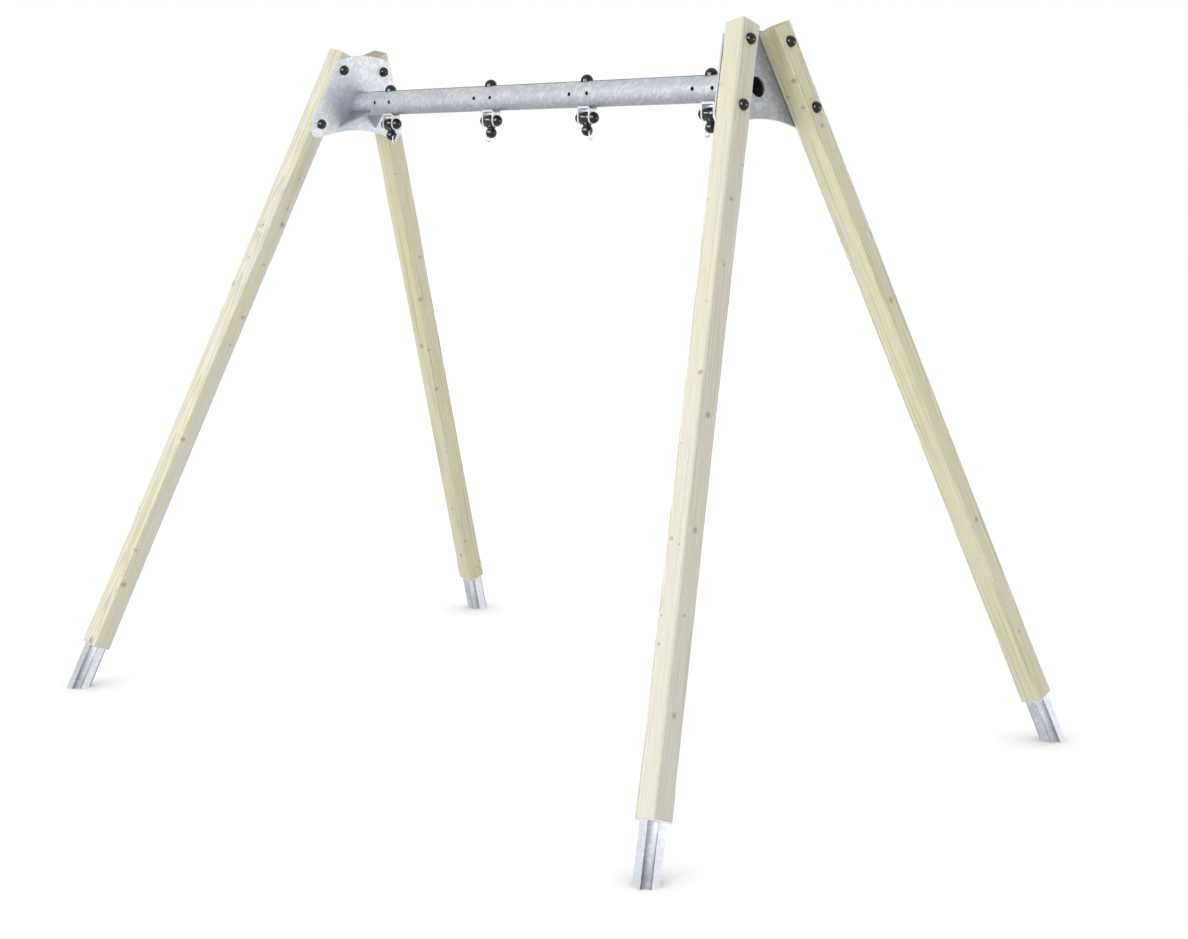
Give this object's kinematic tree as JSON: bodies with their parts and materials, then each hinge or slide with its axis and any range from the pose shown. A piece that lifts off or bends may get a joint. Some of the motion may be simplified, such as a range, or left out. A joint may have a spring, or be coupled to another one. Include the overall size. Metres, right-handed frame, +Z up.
{
  "type": "a-frame swing set",
  "caption": "Free-standing swing frame: leaning timber A-frames on steel feet, a round galvanised beam and swivelling chain hangers for hanging seats.",
  "frame": {"origin": "on the ground under the middle of the beam", "axes": "+X along the beam to the right, +Y to the rear, +Z up"},
  "size_m": [3.7632, 2.5604, 2.9298],
  "materials": {
    "treated_pine": "planed, pressure treated, pale with small knots",
    "galvanised_steel": "hot-dip galvanised, mottled spangle",
    "black_cap": "black moulded cap, glossy",
    "black_arm": "black moulded arm, semi-gloss",
    "stainless_rod": "bright drawn stainless rod"
  },
  "bodies": {
    "frame": {"post_front_left": "treated_pine", "foot_front_left": "galvanised_steel", "gusset_front_left": "galvanised_steel", "post_bolt_front_left_upper": "black_cap", "post_cap_front_left_upper": "black_cap", "post_bolt_front_left_lower": "black_cap", "post_cap_front_left_lower": "black_cap", "post_front_right": "treated_pine", "foot_front_right": "galvanised_steel", "gusset_front_right": "galvanised_steel", "post_bolt_front_right_upper": "black_cap", "post_cap_front_right_upper": "black_cap", "post_bolt_front_right_lower": "black_cap", "post_cap_front_right_lower": "black_cap", "post_rear_left": "treated_pine", "foot_rear_left": "galvanised_steel", "gusset_rear_left": "galvanised_steel", "post_bolt_rear_left_upper": "black_cap", "post_cap_rear_left_upper": "black_cap", "post_bolt_rear_left_lower": "black_cap", "post_cap_rear_left_lower": "black_cap", "post_rear_right": "treated_pine", "foot_rear_right": "galvanised_steel", "gusset_rear_right": "galvanised_steel", "post_bolt_rear_right_upper": "black_cap", "post_cap_rear_right_upper": "black_cap", "post_bolt_rear_right_lower": "black_cap", "post_cap_rear_right_lower": "black_cap", "beam": "galvanised_steel", "end_plate_left": "galvanised_steel", "end_plate_right": "galvanised_steel", "hanger_bracket_1": "galvanised_steel", "hanger_bolt_1": "black_cap", "hanger_axle_1": "black_cap", "axle_cap_1": "black_cap", "hanger_bracket_2": "galvanised_steel", "hanger_bolt_2": "black_cap", "hanger_axle_2": "black_cap", "axle_cap_2": "black_cap", "hanger_bracket_3": "galvanised_steel", "hanger_bolt_3": "black_cap", "hanger_axle_3": "black_cap", "axle_cap_3": "black_cap", "hanger_bracket_4": "galvanised_steel", "hanger_bolt_4": "black_cap", "hanger_axle_4": "black_cap", "axle_cap_4": "black_cap"},
    "arm_1": {"hanger_arm_1": "black_arm", "shackle_pin_1": "stainless_rod"},
    "shackle_1": {"shackle_1": "stainless_rod"},
    "arm_2": {"hanger_arm_2": "black_arm", "shackle_pin_2": "stainless_rod"},
    "shackle_2": {"shackle_2": "stainless_rod"},
    "arm_3": {"hanger_arm_3": "black_arm", "shackle_pin_3": "stainless_rod"},
    "shackle_3": {"shackle_3": "stainless_rod"},
    "arm_4": {"hanger_arm_4": "black_arm", "shackle_pin_4": "stainless_rod"},
    "shackle_4": {"shackle_4": "stainless_rod"}
  },
  "joints": [
    {"name": "hanger_1_swing", "type": "hinge", "parent": "frame", "child": "arm_1", "pos_m": [-0.988, 0, 2.5808], "axis": [1, 0, 0], "range_deg": [-90, 90]},
    {"name": "shackle_1_swing", "type": "hinge", "parent": "arm_1", "child": "shackle_1", "pos_m": [-0.968, 0, 2.523], "axis": [0, -1, 0], "range_deg": [-20, 75]},
    {"name": "hanger_2_swing", "type": "hinge", "parent": "frame", "child": "arm_2", "pos_m": [-0.298, 0, 2.5808], "axis": [1, 0, 0], "range_deg": [-90, 90]},
    {"name": "shackle_2_swing", "type": "hinge", "parent": "arm_2", "child": "shackle_2", "pos_m": [-0.318, 0, 2.523], "axis": [0, 1, 0], "range_deg": [-20, 75]},
    {"name": "hanger_3_swing", "type": "hinge", "parent": "frame", "child": "arm_3", "pos_m": [0.298, 0, 2.5808], "axis": [1, 0, 0], "range_deg": [-90, 90]},
    {"name": "shackle_3_swing", "type": "hinge", "parent": "arm_3", "child": "shackle_3", "pos_m": [0.318, 0, 2.523], "axis": [0, -1, 0], "range_deg": [-20, 75]},
    {"name": "hanger_4_swing", "type": "hinge", "parent": "frame", "child": "arm_4", "pos_m": [0.988, 0, 2.5808], "axis": [1, 0, 0], "range_deg": [-90, 90]},
    {"name": "shackle_4_swing", "type": "hinge", "parent": "arm_4", "child": "shackle_4", "pos_m": [0.968, 0, 2.523], "axis": [0, 1, 0], "range_deg": [-20, 75]}
  ]
}
